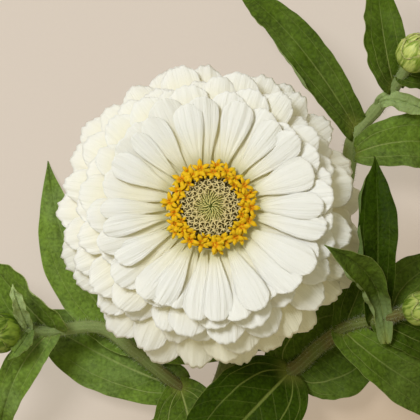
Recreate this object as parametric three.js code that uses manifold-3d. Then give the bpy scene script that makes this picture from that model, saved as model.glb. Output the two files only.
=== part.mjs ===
// Zinnia bloom on its cut stem, with the leafy side shoots that grow from it.
// The stem lies on a flat surface and the bloom is turned face up.
// Millimetres, +Z up. The origin is on the flat underside of the main stem.
import * as THREE from 'three';
import { mergeVertices } from 'three/addons/utils/BufferGeometryUtils.js';
import Module from 'manifold-3d';

const wasm = await Module();
wasm.setup();

// Driving dimensions of the bloom
const BLOOM_RADIUS = 48.5;
const BLOOM_Y = 60;
const DISC_HEIGHT = 52;
const PETAL_COUNT = 118;
const PETAL_WIDTH_INNER = 8.8;
const PETAL_WIDTH_OUTER = 10.4;
const PETAL_THICKNESS = 1.0;
const PETAL_ARCH = 0.8;
const PETAL_ROOT_DEPTH = 1.6;
const CORE_TOP_RADIUS = 12.6;
const CORE_BOTTOM_RADIUS = 9.3;
const CORE_TOP_DROP = 2.4;
const CORE_BOTTOM_DROP = 11.5;

// Driving dimensions of the disc
const DISC_UNDERSIDE_DROP = 2.1;
const FLORET_COUNT = 21;
const FLORET_RADIUS = 2.7;
const FLORET_RINGS = [11.8, 10.9];
const FLORET_NOTCH = 0.46;
const FLORET_FOOT_SHARE = 0.4;
const FLORET_FOOT_DROP = 1.6;
const FLORET_LIFT = 0.9;
const FLORET_TOP_DROP = 0.2;
const FLORET_SEAT_RADIUS = 12.3;
const FLORET_SEAT_INNER_DROP = 0.8;
const FLORET_SEAT_OUTER_DROP = 1.2;
const SCALE_COUNT = 55;
const SCALE_DISC_RADIUS = 8.0;
const SCALE_SIZE = 0.9;
const SCALE_SPREAD = 1.0;
const SCALE_TIP_RISE = 1.1;
const SCALE_LEAN = 0.7;
const DOME_RISE = 1.4;
const DOME_CURVE = 1.3;
const DOME_DROP = 0.2;

// Driving dimensions of the green parts
const STEM_RADIUS = 3.1;
const STEM_AXIS_HEIGHT = 2.75;
const NECK_TOP = 33;
const LEAF_THICKNESS = 0.9;
const CUT_LENGTH = 60;
const BRACT_LIFT = 0.05;
const BRACT_RELIEF = 0.09;
const BRACT_LIP = 0.03;
const GAP = 0.3;

const GOLDEN_ANGLE = Math.PI * (3 - Math.sqrt(5));
const UP = new THREE.Vector3(0, 0, 1);

const vec = (x, y, z) => new THREE.Vector3(x, y, z);
const mix = (a, b, t) => a + (b - a) * t;
const radians = THREE.MathUtils.degToRad;

// A repeatable number from 0 to 1 for petal or floret i
function chance(i, salt) {
  const value = Math.sin((i + 1) * 12.9898 + salt * 78.233) * 43758.5453;
  return value - Math.floor(value);
}

// Straight-line reading of a value between stops [place, value]
function reading(place, stops) {
  for (let k = 1; k < stops.length; k++) {
    const [start, from] = stops[k - 1];
    const [end, to] = stops[k];
    if (place <= end) return mix(from, to, (place - start) / (end - start));
  }
  return stops[stops.length - 1][1];
}

// A closed body through rings of points, each ring turning the same way round the path.
// Both faces of a blade are split along the same diagonals.
function loft(rings) {
  const sides = rings[0].length;
  const half = sides / 2;
  const index = [];
  for (let ring = 0; ring < rings.length - 1; ring++) {
    for (let side = 0; side < sides; side++) {
      const a = ring * sides + side;
      const b = ring * sides + (side + 1) % sides;
      const c = a + sides;
      const d = b + sides;
      if (side < half) index.push(a, b, d, a, d, c);
      else index.push(a, b, c, b, d, c);
    }
  }
  const last = (rings.length - 1) * sides;
  for (let side = 0; side < half; side++) {
    const across = (sides - side) % sides;
    const next = sides - side - 1;
    if (side > 0) {
      index.push(side, across, side + 1);
      index.push(last + side, last + side + 1, last + across);
    }
    if (side + 1 < half) {
      index.push(side + 1, across, next);
      index.push(last + side + 1, last + next, last + across);
    }
  }
  const geometry = new THREE.BufferGeometry();
  geometry.setAttribute('position', new THREE.Float32BufferAttribute(
    rings.flat().flatMap((point) => point.toArray()), 3));
  geometry.setIndex(index);
  return geometry;
}

const WELD = 1e-4;

function toSolid(geometry) {
  const bare = geometry.clone();
  bare.deleteAttribute('normal');
  bare.deleteAttribute('uv');
  const welded = mergeVertices(bare, WELD);
  return new wasm.Manifold(new wasm.Mesh({
    numProp: 3,
    vertProperties: new Float32Array(welded.attributes.position.array),
    triVerts: new Uint32Array(welded.index.array),
  }));
}

function toGeometry(solid) {
  const mesh = solid.getMesh();
  const geometry = new THREE.BufferGeometry();
  geometry.setAttribute('position', new THREE.BufferAttribute(new Float32Array(mesh.vertProperties), 3));
  geometry.setIndex(new THREE.BufferAttribute(new Uint32Array(mesh.triVerts), 1));
  return geometry;
}

function fuse(solids) {
  let layer = solids;
  while (layer.length > 1) {
    const next = [];
    for (let k = 0; k < layer.length; k += 2) {
      next.push(k + 1 < layer.length ? layer[k].add(layer[k + 1]) : layer[k]);
    }
    layer = next;
  }
  return layer[0];
}

function largestPiece(solid) {
  return solid.decompose().reduce((best, piece) => (piece.volume() > best.volume() ? piece : best));
}

const GROUND_SPAN = 600;
const GROUND_DEPTH = 20;

// The block under the surface that everything rests on
function ground() {
  const slab = new THREE.BoxGeometry(GROUND_SPAN, GROUND_SPAN, GROUND_DEPTH);
  slab.translate(0, 0, -GROUND_DEPTH / 2);
  return toSolid(slab);
}
const GROUND = ground();

// Stems: the points that each axis passes through, and its radius at both ends
const ROUTES = {
  main: {
    points: [[-12, -CUT_LENGTH, STEM_AXIS_HEIGHT], [-8.5, -40, STEM_AXIS_HEIGHT],
      [-4.5, -18, STEM_AXIS_HEIGHT], [0, 0, STEM_AXIS_HEIGHT], [4.8, 12, 2.9], [7.5, 24, 4],
      [6.5, 35, 7.2], [3.6, 46, 13.2], [1.2, 54.6, 21], [0, 59.4, 27.5], [0, BLOOM_Y, NECK_TOP]],
    radii: [STEM_RADIUS, STEM_RADIUS],
    steps: 20,
  },
  left: {
    points: [[0.8, 2.8, 3], [-9.8, 7.8, 7.6], [-24, 19, 13.5], [-34.6, 26, 17.5], [-49, 24.8, 22],
      [-55, 24.5, 25], [-59.7, 24, 28.5]],
    radii: [2.2, 1.7],
    steps: 14,
  },
  right: {
    points: [[1.6, 4.4, 3], [12, 7.6, 5.6], [25.4, 12.8, 9.4], [33.8, 19.9, 14], [41.4, 25.3, 19.5],
      [47.9, 27, 24.5], [54.5, 28.3, 30.6], [60, 29.6, 36.2]],
    radii: [2.6, 1.8],
    steps: 15,
  },
  upper: {
    points: [[7.5, 24, 4], [14.5, 38, 6.4], [25.3, 54.4, 8.6], [41, 69, 10.6], [44.2, 78, 12],
      [45, 86, 14], [52, 94.4, 19], [56.8, 99.8, 24.4], [61, 106.2, 32.6]],
    radii: [2.4, 1.8],
    steps: 18,
  },
};

const STEM_SIDES = 10;

function stemCurve(name) {
  const points = ROUTES[name].points.map(([x, y, z]) => vec(x, y, z));
  return new THREE.CatmullRomCurve3(points, false, 'catmullrom', 0.5);
}

// A round stem; spare widens it, for the clearance cut round it
function stemSolid(name, spare = 0) {
  const route = ROUTES[name];
  const curve = stemCurve(name);
  let across = vec(1, 0, 0);
  const rings = [];
  for (let step = 0; step <= route.steps; step++) {
    const share = step / route.steps;
    const centre = curve.getPoint(share);
    const along = curve.getTangent(share);
    across = across.clone().addScaledVector(along, -across.dot(along)).normalize();
    const above = along.clone().cross(across);
    const radius = mix(route.radii[0], route.radii[1], share) + spare;
    rings.push(Array.from({ length: STEM_SIDES }, (_, side) => {
      const angle = (2 * Math.PI * side) / STEM_SIDES;
      return centre.clone().addScaledVector(across, radius * Math.cos(angle))
        .addScaledVector(above, radius * Math.sin(angle));
    }));
  }
  return toSolid(loft(rings));
}

// Leaves

const LEAF_STATIONS = [0, 0.08, 0.2, 0.36, 0.54, 0.7, 0.84, 0.94, 1];
const LEAF_WAVE = 0.8;
const LEAF_WAVES = 2;
const LEAF_WAVE_STARTS = [0.6, 2.9];
const EAR_SHARE = 0.1;
const EAR_REACH = 0.1;
const SWELL_START = 0.17;
const SWELL_SPAN = 0.82;
const SWELL_POWERS = [0.75, 1.2];
const BASE_PINCH = 0.6;
const BASE_PINCH_REACH = 0.03;
const LEAF_ACROSS = [1, 0.5, 0, -0.5, -1, -0.5, 0, 0.5];

// Share of the full width at a place along the leaf: clasping base, broad middle, drawn-out tip.
// A belly over 1 moves the broadest place towards the tip.
function leafProfile(place, belly) {
  const reached = place ** belly;
  const swell = Math.sin(Math.PI * (SWELL_START + SWELL_SPAN * reached));
  const base = 1 - BASE_PINCH * Math.exp(-place / BASE_PINCH_REACH);
  return base * swell ** mix(...SWELL_POWERS, reached);
}

// A leaf's path has its root, one or two lifting points and its tip. fold turns both halves up
// along the midrib, roll turns the blade about it, and ear sweeps the base back past the stem.
// The wave along each margin starts at its own angle.
function leafSolid({ path, width, fold, belly = 1, roll = 0, ear = width * EAR_SHARE }) {
  const points = path.map(([x, y, z]) => vec(x, y, z));
  const curve = points.length === 3
    ? new THREE.QuadraticBezierCurve3(...points)
    : new THREE.CubicBezierCurve3(...points);
  const foldAngle = radians(fold);
  const rings = LEAF_STATIONS.map((place) => {
    const centre = curve.getPoint(place);
    const along = curve.getTangent(place);
    const across = UP.clone().cross(along).normalize().applyAxisAngle(along, radians(roll));
    const face = along.clone().cross(across);
    const halfWidth = (width / 2) * leafProfile(place, belly);
    const sweep = ear * Math.exp(-place / EAR_REACH);
    const back = vec(-along.x, -along.y, 0).normalize().multiplyScalar(sweep);
    return LEAF_ACROSS.map((share, corner) => {
      const reach = Math.abs(share) * halfWidth;
      const start = LEAF_WAVE_STARTS[share > 0 ? 0 : 1];
      const wave = LEAF_WAVE * share * share * Math.sin(2 * Math.PI * LEAF_WAVES * place + start);
      const lift = reach * Math.sin(foldAngle) + wave * Math.sin(Math.PI * place);
      const skin = (corner < 4 ? 0.5 : -0.5) * LEAF_THICKNESS * (1 - share * share);
      return centre.clone()
        .addScaledVector(back, share * share)
        .addScaledVector(across, Math.sign(share) * reach * Math.cos(foldAngle))
        .addScaledVector(face, lift + skin);
    });
  });
  return toSolid(loft(rings));
}

// The leaves. A path starts inside the stem that its leaf clasps, and the front leaf's at the
// lobe that hangs past the stem.
const LEAVES = {
  upper_leaf_long: {
    path: [[46.4, 88.4, 15.8], [25.5, 118, 45], [6.5, 139.5, -0.4]],
    width: 13.8, fold: 14, belly: 1.1,
  },
  upper_leaf_right: {
    path: [[44.3, 81, 12.5], [63, 87.6, 33], [84, 82.5, -0.4]],
    width: 17.5, fold: 10, belly: 1.4, ear: 0,
  },
  upper_leaf_top: {
    path: [[57.4, 101.1, 26.2], [52, 113, 45], [52.5, 142, 20]],
    width: 13.5, fold: 16,
  },
  upper_leaf_folded: {
    path: [[53.2, 95.9, 20.8], [54, 99.2, 32], [75, 91, 20]],
    width: 6.5, fold: 26, belly: 1.4, ear: 0,
  },
  upper_leaf_small: {
    path: [[59, 104.4, 29.8], [64, 103, 33], [74, 103.5, 22]],
    width: 9, fold: 14,
  },
  left_leaf_tall: {
    path: [[7.5, 22, 4], [-35, 16, 14.5], [-47.5, 43.5, 14], [-52.5, 81, -0.4]],
    width: 19.5, fold: 12, belly: 1.5,
  },
  left_leaf_under: {
    path: [[-9.8, 7.8, 6.2], [-32, 14.6, 9.6], [-60, 33, 4]],
    width: 23, fold: 6, belly: 1.4,
  },
  left_leaf_down: {
    path: [[-9.8, 7.8, 9], [-5.6, -11, 21], [-6.5, -40, -0.4]],
    width: 24, fold: 8, ear: 9,
  },
  left_leaf_upper: {
    path: [[-49, 24.8, 22], [-56, 29.5, 32], [-73, 51.5, 14]],
    width: 18.5, fold: 14, roll: -42,
  },
  left_leaf_lower: {
    path: [[-49, 24.8, 22], [-64, 12, 35], [-68, -16, -0.4]],
    width: 11.5, fold: 14, belly: 0.9,
  },
  left_leaf_curled: {
    path: [[-56.1, 25, 26.5], [-59.2, 32.6, 40.7], [-60.2, 37.8, 40]],
    width: 5, fold: 30,
  },
  left_leaf_small: {
    path: [[-56.1, 24.4, 26.5], [-57, 19.2, 37.2], [-62.3, 15.2, 31]],
    width: 5.5, fold: 20,
  },
  right_leaf_big: {
    path: [[25.4, 12.8, 10.6], [7, -6, 29], [-12, -27, 12]],
    width: 31, fold: 10,
  },
  right_leaf_under: {
    path: [[25.4, 12.8, 8.4], [28.5, 18, 12], [66.5, 31, 4]],
    width: 33, fold: 5, belly: 1.3,
  },
  right_leaf_inner: {
    path: [[41.4, 25.3, 19.5], [45.5, 35, 25], [54, 57, 12]],
    width: 12, fold: 8,
  },
  right_leaf_outer: {
    path: [[41.4, 25.3, 19.5], [50.5, 12.8, 40], [87, -3.7, -0.4]],
    width: 16.5, fold: 12, belly: 1.7,
  },
  right_leaf_front: {
    path: [[54, 20.2, 30.4], [52.4, 40.5, 31.5], [48.3, 41.4, 49], [34, 47.9, 57]],
    width: 9.5, fold: 26, belly: 1.6, roll: -14, ear: 0,
  },
  right_leaf_tall: {
    path: [[51, 27.6, 27.4], [51.5, 52, 46], [50.4, 77.3, 38]],
    width: 13, fold: 24, belly: 1.3,
  },
  right_leaf_back_upper: {
    path: [[56, 28.8, 30.4], [56, 41, 28], [79, 50, 16]],
    width: 14, fold: 14, belly: 1.15, roll: -20, ear: 0,
  },
  right_leaf_back_lower: {
    path: [[51.4, 27.7, 27.8], [64, 20, 32.5], [82, 15.5, 12]],
    width: 11, fold: 14,
  },
  main_leaf_hidden: {
    path: [[7.5, 24, 4], [28, 25, 13], [42, 52, 1]],
    width: 14, fold: 10,
  },
  main_leaf_left: {
    path: [[0.6, 2, 3], [-16, -8, 6], [-38, -22, -0.4]],
    width: 13, fold: 10,
  },
  main_leaf_right: {
    path: [[0.6, 2, 3], [16, -6, 9], [40, -24, -0.4]],
    width: 13, fold: 10,
  },
};

// Buds and involucre: an egg or a cup covered with overlapping bracts,
// raised from its surface row by row

function bractBody({ base, axis, length, radius, profile, rows, bracts }) {
  const along = axis.clone().normalize();
  const across = Math.abs(along.x) > 0.9 ? vec(0, 1, 0) : vec(1, 0, 0);
  across.addScaledVector(along, -across.dot(along)).normalize();
  const above = along.clone().cross(across);
  const sides = 2 * bracts;
  const ring = (share, row, raised) => Array.from({ length: sides }, (_, side) => {
    const angle = (2 * Math.PI * side) / sides;
    const ridge = (side + row) % 2;
    const reach = radius * reading(share, profile) * (1 + raised * (BRACT_LIFT + BRACT_RELIEF * ridge));
    return base.clone().addScaledVector(along, share * length)
      .addScaledVector(across, reach * Math.cos(angle))
      .addScaledVector(above, reach * Math.sin(angle));
  });
  const rings = [];
  for (let row = 0; row < rows; row++) {
    rings.push(ring(row / rows + (row ? BRACT_LIP : 0), row, 0));
    rings.push(ring((row + 1) / rows, row, row + 1 < rows ? 1 : 0));
  }
  return toSolid(loft(rings));
}

const BUDS = {
  left_bud: { stem: 'left', length: 13.5, radius: 5.9 },
  right_bud: { stem: 'right', length: 11.5, radius: 4.8 },
  upper_bud: { stem: 'upper', length: 13, radius: 5.5 },
};
const BUD_PROFILE = [[0, 0.35], [0.12, 0.78], [0.3, 0.98], [0.5, 1], [0.7, 0.86], [0.88, 0.52],
  [1, 0.16]];
const BUD_ROWS = 4;
const BUD_BRACTS = 6;
const BUD_CLEARANCE = 1.3;
const CUP_ROWS = 3;
const CUP_BRACTS = 9;
const CUP_PROFILE = [[0, 0.36], [0.25, 0.62], [0.6, 0.88], [1, 0.97]];

// spare widens a bud, for the clearance cut round it
function budSolid({ stem, length, radius }, spare = 0) {
  const curve = stemCurve(stem);
  const axis = curve.getTangent(1);
  const base = curve.getPoint(1).addScaledVector(axis, GAP - spare);
  return bractBody({
    base,
    axis,
    length: length + 2 * spare,
    radius: radius + spare * BUD_CLEARANCE,
    profile: BUD_PROFILE,
    rows: BUD_ROWS,
    bracts: BUD_BRACTS,
  });
}

// The cup of bracts under the petals
function involucreSolid() {
  const base = vec(0, BLOOM_Y, NECK_TOP - GAP);
  return bractBody({
    base,
    axis: UP,
    length: DISC_HEIGHT - CORE_BOTTOM_DROP - GAP - base.z,
    radius: CORE_BOTTOM_RADIUS,
    profile: CUP_PROFILE,
    rows: CUP_ROWS,
    bracts: CUP_BRACTS,
  });
}

// Bloom

const REACH = [[0, 32], [0.17, 34], [0.36, 38.6], [0.58, 43.2], [0.78, 46.3], [1, BLOOM_RADIUS]];
const TIP_HEIGHT = [[0, 2], [0.17, 0.6], [0.36, -5], [0.58, -12], [0.78, -19], [1, -27]];
const ARCH_REACH = [[0, 21], [0.36, 24], [0.58, 27], [0.78, 30], [1, 34]];
const ARCH_HEIGHT = [[0, 1], [0.36, 0], [0.58, -1.5], [0.78, -4], [1, -7]];
const ROOT_HEIGHT = [-3.6, -10.6];
const PETAL_STATIONS = [[0, 0.14], [0.4, 0.64], [0.7, 0.98], [0.9, 0.84], [1, 0.44]];
const PETAL_WIDTH_SPREAD = 0.1;
const PETAL_TURN_SPREAD = radians(5);
const PETAL_TWIST_SPREAD = radians(14);
const PETAL_ARCH_SPREAD = 1.2;
const PETAL_TIP_SPREAD = 1.6;

// Petals follow each other by the golden angle, from the highest and shortest to the rim
function petalSolid(i) {
  const age = i / (PETAL_COUNT - 1);
  const draw = (salt) => chance(i, salt) - 0.5;
  const turn = i * GOLDEN_ANGLE + PETAL_TURN_SPREAD * draw(1);
  const outward = vec(Math.cos(turn), Math.sin(turn), 0);
  const place = (reach, height) => vec(0, BLOOM_Y, DISC_HEIGHT + height).addScaledVector(outward, reach);
  const rootReach = mix(CORE_TOP_RADIUS, CORE_BOTTOM_RADIUS, age) - PETAL_ROOT_DEPTH;
  const archHeight = reading(age, ARCH_HEIGHT) + PETAL_ARCH_SPREAD * draw(2);
  const tipReach = reading(age, REACH) + PETAL_TIP_SPREAD * draw(3);
  const tipHeight = reading(age, TIP_HEIGHT) + PETAL_TIP_SPREAD * draw(4);
  const path = new THREE.QuadraticBezierCurve3(
    place(rootReach, mix(...ROOT_HEIGHT, age)),
    place(reading(age, ARCH_REACH), archHeight),
    place(tipReach, tipHeight),
  );
  const width = mix(PETAL_WIDTH_INNER, PETAL_WIDTH_OUTER, age) * (1 + 2 * PETAL_WIDTH_SPREAD * draw(5));
  const twist = PETAL_TWIST_SPREAD * draw(6);
  const rings = PETAL_STATIONS.map(([share, broad]) => {
    const centre = path.getPoint(share);
    const along = path.getTangent(share);
    const across = UP.clone().cross(outward).applyAxisAngle(along, twist * share);
    const face = along.clone().cross(across);
    const reach = (width / 2) * broad;
    const skin = PETAL_THICKNESS / 2;
    const arch = PETAL_ARCH * broad;
    return [[reach, -arch], [0, skin], [-reach, -arch], [0, -skin]].map(([side, height]) => (
      centre.clone().addScaledVector(across, side).addScaledVector(face, height)));
  });
  return toSolid(loft(rings));
}

// A turned body about the bloom's axis, from [radius, height over the disc] pairs
function latheSolid(profile, sides) {
  const lathe = new THREE.LatheGeometry(profile.map(([r, h]) => new THREE.Vector2(r, h)), sides);
  lathe.rotateX(Math.PI / 2);
  lathe.translate(0, BLOOM_Y, DISC_HEIGHT);
  return toSolid(lathe);
}

const CORE_SIDES = 28;
const SEAT_SIDES = 40;
const DOME_SIDES = 24;
const CORE_TAPER = 0.6;

function rayPetals() {
  const core = latheSolid([[0, -CORE_BOTTOM_DROP], [CORE_BOTTOM_RADIUS - CORE_TAPER, -CORE_BOTTOM_DROP],
    [CORE_TOP_RADIUS, -CORE_TOP_DROP], [0, -CORE_TOP_DROP]], CORE_SIDES);
  return fuse([core, ...Array.from({ length: PETAL_COUNT }, (_, i) => petalSolid(i))]);
}

// A point by its distance and turn from the bloom's axis and its height over the disc
function discPoint(radius, turn, height, outward = 0, sideways = 0) {
  const reach = radius + outward;
  return vec(reach * Math.cos(turn) - sideways * Math.sin(turn),
    BLOOM_Y + reach * Math.sin(turn) + sideways * Math.cos(turn), DISC_HEIGHT + height);
}

// One open floret: a five-lobed star on a short tube
function floretSolid(i) {
  const turn = (2 * Math.PI * i) / FLORET_COUNT;
  const spin = 2 * Math.PI * chance(i, 7) - turn;
  const star = (size, height) => Array.from({ length: 10 }, (_, corner) => {
    const angle = spin + (Math.PI * corner) / 5;
    const reach = size * (corner % 2 ? FLORET_NOTCH : 1);
    return discPoint(FLORET_RINGS[i % 2], turn, height, reach * Math.cos(angle), reach * Math.sin(angle));
  });
  const foot = star(FLORET_RADIUS * FLORET_FOOT_SHARE, -FLORET_FOOT_DROP);
  const rim = star(FLORET_RADIUS, FLORET_LIFT * chance(i, 8) - FLORET_TOP_DROP);
  return toSolid(loft([foot, rim]));
}

function discFlorets() {
  const inner = SCALE_DISC_RADIUS + GAP;
  const seat = latheSolid([[inner, -DISC_UNDERSIDE_DROP], [FLORET_SEAT_RADIUS, -DISC_UNDERSIDE_DROP],
    [FLORET_SEAT_RADIUS, -FLORET_SEAT_OUTER_DROP], [inner, -FLORET_SEAT_INNER_DROP],
    [inner, -DISC_UNDERSIDE_DROP]], SEAT_SIDES);
  return fuse([seat, ...Array.from({ length: FLORET_COUNT }, (_, i) => floretSolid(i))]);
}

function domeHeight(radius) {
  return DOME_RISE * Math.cos((radius / SCALE_DISC_RADIUS) * DOME_CURVE) - DOME_DROP;
}

// One pointed scale of the centre, leaning in
function scaleSolid(k) {
  const turn = k * GOLDEN_ANGLE;
  const radius = (SCALE_DISC_RADIUS - SCALE_SPREAD) * Math.sqrt((k + 0.5) / SCALE_COUNT);
  const height = domeHeight(radius);
  const corners = [0, 1, 2].map((third) => {
    const angle = (2 * Math.PI * third) / 3;
    return discPoint(radius, turn, height - SCALE_SIZE, SCALE_SIZE * Math.cos(angle),
      SCALE_SIZE * Math.sin(angle));
  });
  const tip = discPoint(radius, turn, height + SCALE_TIP_RISE, -SCALE_LEAN);
  const pyramid = new THREE.BufferGeometry().setFromPoints([...corners, tip]);
  pyramid.setIndex([0, 2, 1, 0, 1, 3, 1, 2, 3, 2, 0, 3]);
  return toSolid(pyramid);
}

function discScales() {
  const crown = [1, 0.75, 0.5, 0.25, 0].map((share) => {
    const radius = share * SCALE_DISC_RADIUS;
    return [radius, domeHeight(radius)];
  });
  const dome = latheSolid([[0, -DISC_UNDERSIDE_DROP], [SCALE_DISC_RADIUS, -DISC_UNDERSIDE_DROP], ...crown],
    DOME_SIDES);
  return fuse([dome, ...Array.from({ length: SCALE_COUNT }, (_, k) => scaleSolid(k))]);
}

// Materials, by colour in the photograph

const finish = (color, roughness) => ({ color, roughness, metalness: 0 });
const PETAL_WHITE = finish(0xf4f3ec, 0.6);
const FLORET_YELLOW = finish(0xeab21a, 0.6);
const SCALE_GREEN = finish(0xb9b684, 0.7);
const LEAF_GREEN = finish(0x4f7a2b, 0.55);
const STEM_GREEN = finish(0x8b9a5e, 0.7);
const BUD_GREEN = finish(0xa9b85c, 0.6);

const zinnia = new THREE.Group();

function place(name, solid, look) {
  const mesh = new THREE.Mesh(toGeometry(solid), new THREE.MeshStandardMaterial(look));
  mesh.name = name;
  zinnia.add(mesh);
}

// Stems: each shoot starts on the stem that it branches from
const mainStem = stemSolid('main').subtract(GROUND);
const mainClear = stemSolid('main', GAP);
const stems = {
  main: mainStem,
  left: largestPiece(stemSolid('left').subtract(mainClear)),
  right: largestPiece(stemSolid('right').subtract(mainClear)),
  upper: largestPiece(stemSolid('upper').subtract(mainClear)),
};
for (const [name, solid] of Object.entries(stems)) {
  place(name === 'main' ? 'main_stem' : `${name}_shoot_stem`, solid, STEM_GREEN);
}

for (const [name, bud] of Object.entries(BUDS)) place(name, budSolid(bud), BUD_GREEN);
place('involucre', involucreSolid().subtract(mainClear), BUD_GREEN);

// Leaves: each clasps its stem, and is cut clear of stems, buds and the surface
const clearance = fuse([
  ...Object.keys(ROUTES).map((name) => stemSolid(name, GAP)),
  ...Object.values(BUDS).map((bud) => budSolid(bud, GAP)),
  GROUND,
]);
for (const [name, leaf] of Object.entries(LEAVES)) {
  place(name, largestPiece(leafSolid(leaf).subtract(clearance)), LEAF_GREEN);
}

place('ray_petals', rayPetals(), PETAL_WHITE);
place('disc_florets', discFlorets(), FLORET_YELLOW);
place('disc_scales', discScales(), SCALE_GREEN);

export default zinnia;
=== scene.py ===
import math

import bmesh
import bpy
from mathutils import Matrix, Quaternion, Vector, noise


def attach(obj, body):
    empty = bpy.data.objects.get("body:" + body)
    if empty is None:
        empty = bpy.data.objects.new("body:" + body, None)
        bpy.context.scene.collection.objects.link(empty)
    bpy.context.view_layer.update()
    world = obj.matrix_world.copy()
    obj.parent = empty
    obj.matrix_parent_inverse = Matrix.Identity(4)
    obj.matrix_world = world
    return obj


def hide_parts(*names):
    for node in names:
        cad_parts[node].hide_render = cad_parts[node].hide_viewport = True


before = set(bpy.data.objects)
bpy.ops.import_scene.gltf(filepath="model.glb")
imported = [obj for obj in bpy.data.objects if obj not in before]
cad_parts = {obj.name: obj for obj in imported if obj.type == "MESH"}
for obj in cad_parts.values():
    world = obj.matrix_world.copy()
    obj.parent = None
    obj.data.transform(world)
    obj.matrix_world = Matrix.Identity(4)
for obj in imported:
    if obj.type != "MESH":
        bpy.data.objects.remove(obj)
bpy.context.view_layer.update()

# Lengths are millimetres until a finished shape is scaled to metres
MM = 0.001
UP = Vector((0, 0, 1))
GOLDEN_ANGLE = math.pi * (3 - math.sqrt(5))

# The bloom
BLOOM_Y = 60
DISC_HEIGHT = 52
PETAL_COUNT = 118
PETAL_WIDTHS = (8.8, 10.4)
PETAL_THICKNESS = 0.34
PETAL_ARCH = 0.8
PETAL_SWAY = math.radians(5)
PETAL_TWIST = math.radians(16)
GROOVE_DEPTH = 0.28
TIP_FLARE = 2.5
TUCK = 3.2
CORE_RADII = (12.6, 9.3)
# Directions round the bloom, in radians: where painted shade keeps the petals cream the furthest out,
# where the top ones are the longest and the widest, and where the low ones lie in painted shade
CREAM_SHADE_SIDE = math.radians(150)
LONG_SIDE, WIDE_SIDE, SHADED_SIDE = -0.5, -0.3, -0.8

# The disc at its centre
FLORET_COUNT = 21
INNER_FLORETS = 20
OUTER_FLORETS = 7
OUTER_SEED = 60
FLORET_RINGS = (11.8, 10.9)
FLORET_RADIUS = 3.0
LOBES = 5
SCALE_COUNT = 92
SCALE_ARMS = 5
FRINGE_COUNT = 48
BRISTLE_COUNT = 96
BARE_BRISTLES = 5
BRISTLE_FIELD = 5.6
SCALE_FIELD = 9.2
SCALE_DOME = 9.3

# The green parts: how thick a leaf is, how far from the midrib its side nerves run and how soon
# they get there, and how high its waves, grooves and quilting are
LEAF_THICKNESS = 0.4
VEIN_SHARE, OUTER_VEIN_SHARE = 0.46, 0.78
VEIN_RATE = 14.0
MARGIN_WAVES = (0.8, 0.34)
MIDRIB_GROOVE, NERVE_GROOVE = 0.32, 0.2
QUILTING = (0.5, 0.34)

# Cells of each grid, lengthwise and across
PETAL_GRID, LOBE_GRID, LEAF_GRID, BRACT_GRID = (18, 16), (7, 4), (60, 32), (12, 12)
CORE_GRID, SEAT_GRID, BED_GRID = (4, 32), (48, 8), (24, 40)
STEM_GRID, BUD_GRID = (96, 40), (16, 24)

# Floor, light and camera, in metres: each light's place, size, watts and tint
FLOOR_REACH, FLOOR_GAP = 2.5, 0.0003
LIGHTS = {
    "window": ((-0.41, 0.33, 0.96), 0.35, 6.75, (0.97, 1.0, 1.08)),
    "fill": ((0.30, -0.35, 0.95), 1.0, 0.35, (1.0, 0.93, 0.75)),
}
LIGHT_AIM = (0, 0.055, 0.03)
ROOM_TINT, ROOM_STRENGTH = (1.0, 0.93, 0.62, 1.0), 0.38
CAMERA_PLACE, CAMERA_TILT = (-0.00015, -0.02135, 0.74726), math.radians(6.6)


# Numbers and curves

def mix(a, b, t):
    return a + (b - a) * t


def smooth(x, start, end):
    """0 before start, 1 after end, and an easy rise between them."""
    t = min(max((x - start) / (end - start), 0.0), 1.0)
    return t * t * (3 - 2 * t)


def bump(x, width):
    """1 at x = 0, falling away to nothing over a few widths."""
    return math.exp(-(x / width) ** 2)


def chance(i, salt):
    """A repeatable number from 0 to 1 for piece i."""
    value = math.sin((i + 1) * 12.9898 + salt * 78.233) * 43758.5453
    return value - math.floor(value)


def sway(i, salt):
    """A repeatable number from -0.5 to 0.5 for piece i."""
    return chance(i, salt) - 0.5


def level(turn):
    """The level direction that points to turn."""
    return Vector((math.cos(turn), math.sin(turn), 0))


def crowded(side, ease=1.3):
    """side from -1 to 1, with the grid's lines crowded towards both margins."""
    return math.sin(side * ease) / math.sin(ease)


def reading(place, stops):
    """Straight-line reading of a value between stops (place, value)."""
    for (start, low), (end, high) in zip(stops, stops[1:]):
        if place <= end:
            return mix(low, high, (place - start) / (end - start))
    return stops[-1][1]


def turned_profile(points, share):
    """Radius and height at share of the way along a profile."""
    spot = share * (len(points) - 1)
    return (reading(spot, [(k, point[j]) for k, point in enumerate(points)]) for j in (0, 1))


def bezier(points, t):
    """Point and direction at t of the curve that the points pull on."""
    while len(points) > 2:
        points = [a.lerp(b, t) for a, b in zip(points, points[1:])]
    return points[0].lerp(points[1], t), (points[1] - points[0]).normalized()


def along_route(points, share):
    """Point and direction at share of a smooth route through the points."""
    spans = len(points) - 1
    k = min(int(share * spans), spans - 1)
    t = share * spans - k
    here, there = points[k], points[k + 1]
    before = points[k - 1] if k else 2 * here - there
    after = points[k + 2] if k + 2 <= spans else 2 * there - here
    leave, arrive = (there - before) / 2, (after - here) / 2
    point = (
        here * (2 * t**3 - 3 * t**2 + 1) + there * (3 * t**2 - 2 * t**3)
        + leave * (t**3 - 2 * t**2 + t) + arrive * (t**3 - t**2)
    )
    heading = (
        (here - there) * (6 * t**2 - 6 * t)
        + leave * (3 * t**2 - 4 * t + 1) + arrive * (3 * t**2 - 2 * t)
    )
    return point, heading.normalized()


# Shapes

def placed(name, data):
    """An object in the scene that shows this mesh, lamp or camera."""
    made = bpy.data.objects.new(name, data)
    bpy.context.scene.collection.objects.link(made)
    return made


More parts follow.
